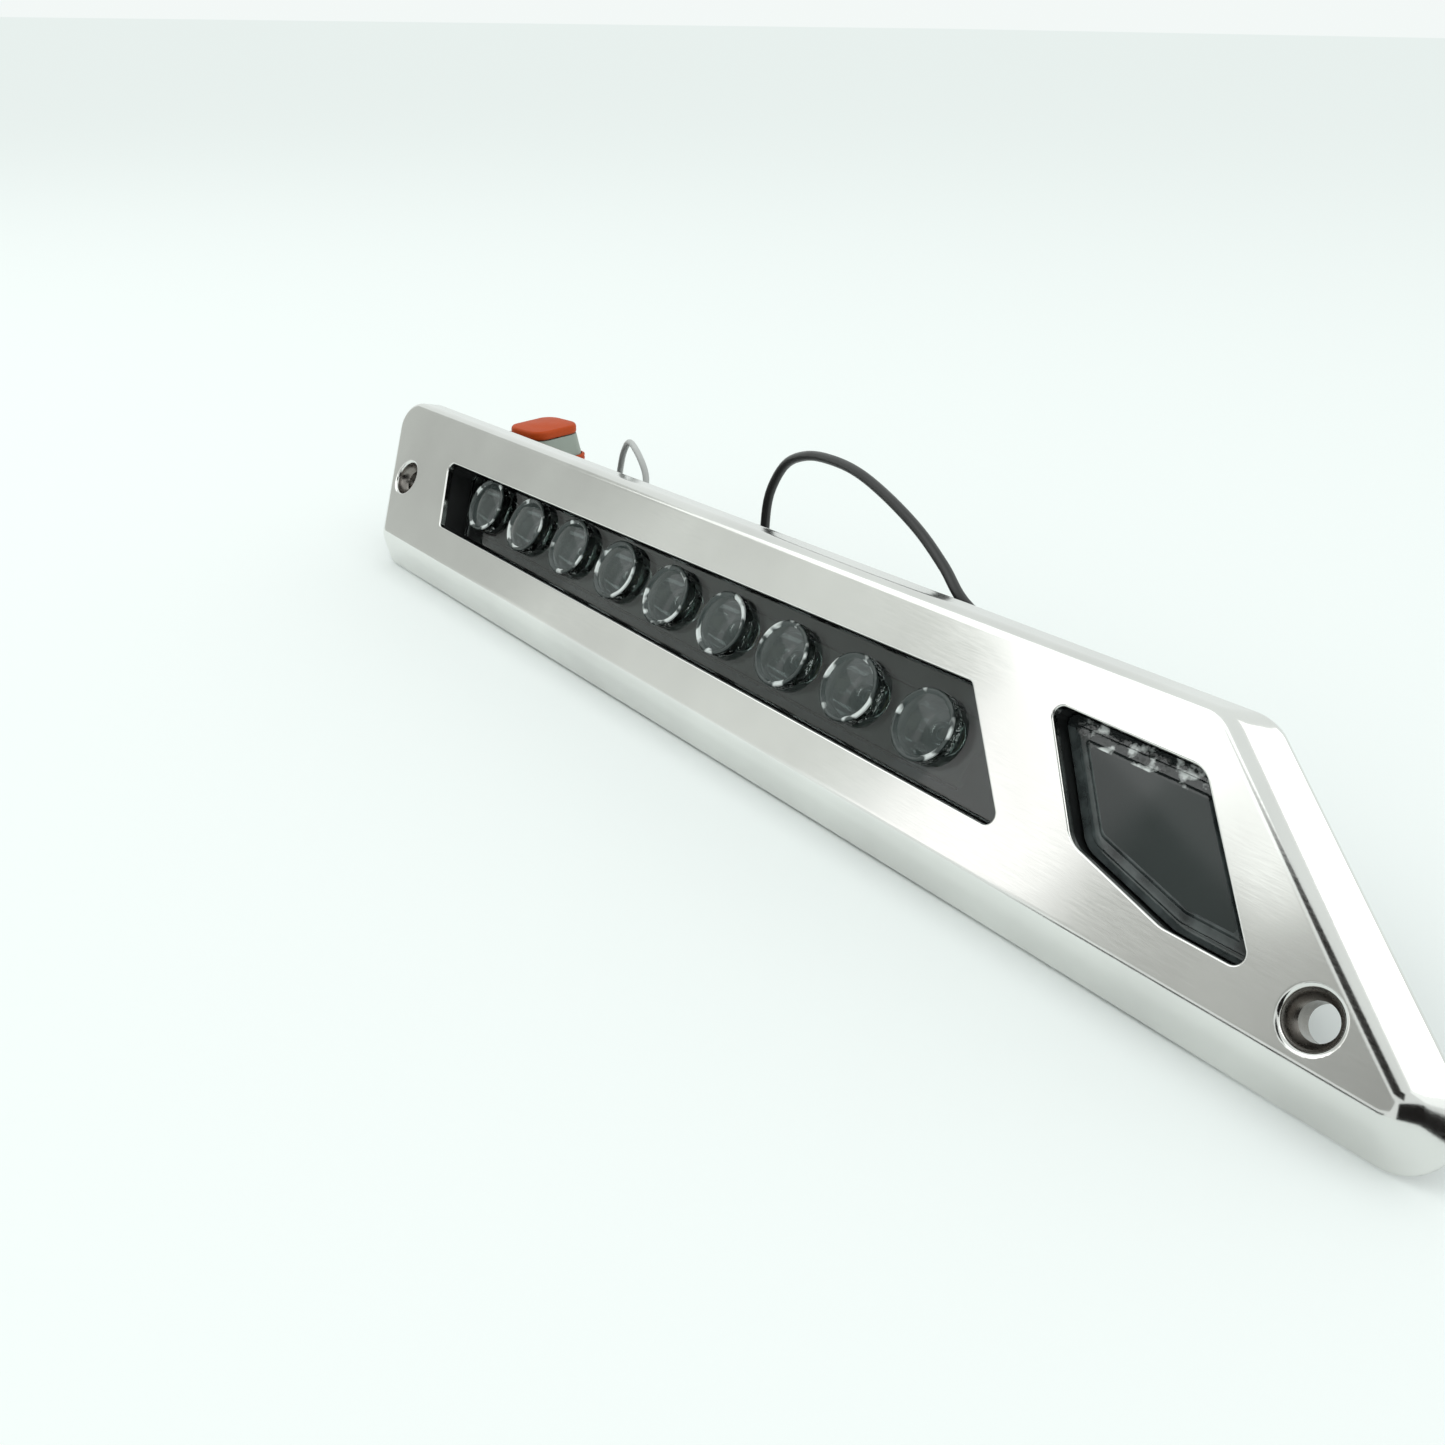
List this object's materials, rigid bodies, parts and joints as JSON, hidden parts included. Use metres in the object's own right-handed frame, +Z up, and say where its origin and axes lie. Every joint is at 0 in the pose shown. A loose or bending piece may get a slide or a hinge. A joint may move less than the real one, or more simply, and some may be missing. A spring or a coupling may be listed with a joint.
{
  "type": "navigation light",
  "caption": "Flush-mount stainless navigation light for a boat's side with a row of docking lamps, tapered slanted bezel, sealed finned back and leads to a latching plug.",
  "frame": {"origin": "on the bench, under the middle of the light's own box, leaving out its leads and plug", "axes": "+X along the bezel towards its pointed end, +Z up from the bench; the light leans back 58 degrees from lying flat, so its face looks towards -Y and up"},
  "size_m": [0.3056, 0.0573, 0.0495],
  "materials": {
    "polished_stainless": "mirror-polished 316 stainless steel with fine polishing lines",
    "housing_black": "black glass-filled nylon, fine moulded texture",
    "foam_black": "black closed-cell foam",
    "lens_clear": "clear polished polycarbonate",
    "lens_smoked": "smoked clear polycarbonate, polished",
    "seal_black": "black silicone",
    "board_dark": "dark solder resist",
    "chip_black": "black moulded chip",
    "led_package": "white ceramic package with a pale yellow phosphor",
    "sink_black": "black anodised aluminium",
    "screen_black": "dead black moulding",
    "gland_black": "black rubber",
    "screw_steel": "stainless steel",
    "plug_grey": "grey thermoplastic",
    "seal_red": "orange-red silicone",
    "wedge_red": "orange-red thermoplastic",
    "contact_plated": "nickel-plated copper alloy",
    "jacket_black": "black PVC jacket",
    "jacket_grey": "grey PVC jacket"
  },
  "bodies": {
    "light": {"bezel": "polished_stainless", "black_lead": "jacket_black", "dock_board": "board_dark", "dock_gland": "gland_black", "dock_led_1": "led_package", "dock_led_2": "led_package", "dock_led_3": "led_package", "dock_led_4": "led_package", "dock_led_5": "led_package", "dock_led_6": "led_package", "dock_led_7": "led_package", "dock_led_8": "led_package", "dock_led_9": "led_package", "dock_lens": "lens_clear", "dock_lens_gasket": "seal_black", "driver_chip": "chip_black", "grey_lead": "jacket_grey", "heat_sink": "sink_black", "hull_gasket": "foam_black", "latch_pin": "screw_steel", "nav_board": "board_dark", "nav_cover": "housing_black", "nav_cover_seal": "seal_black", "nav_gland": "gland_black", "nav_led_1": "led_package", "nav_led_2": "led_package", "nav_lens": "lens_smoked", "nav_lens_gasket": "seal_black", "nav_screen": "screen_black", "nav_screw_1": "screw_steel", "nav_screw_2": "screw_steel", "plug_body": "plug_grey", "plug_boot": "gland_black", "plug_contact_1": "contact_plated", "plug_contact_2": "contact_plated", "plug_contact_3": "contact_plated", "plug_contact_4": "contact_plated", "plug_seal": "seal_red", "plug_wedge": "wedge_red", "rear_housing": "housing_black", "sink_screw_1": "screw_steel", "sink_screw_2": "screw_steel", "sink_screw_3": "screw_steel", "sink_screw_4": "screw_steel", "sink_seal": "seal_black"},
    "latch": {"plug_latch": "plug_grey"}
  },
  "joints": [
    {"name": "latch_press", "type": "hinge", "parent": "light", "child": "latch", "pos_m": [-0.13425, 0.02285, 0.018], "axis": [0.2079, -0.9781, 0], "range_deg": [0, 8], "stiffness_Nm_per_rad": 0.02}
  ]
}
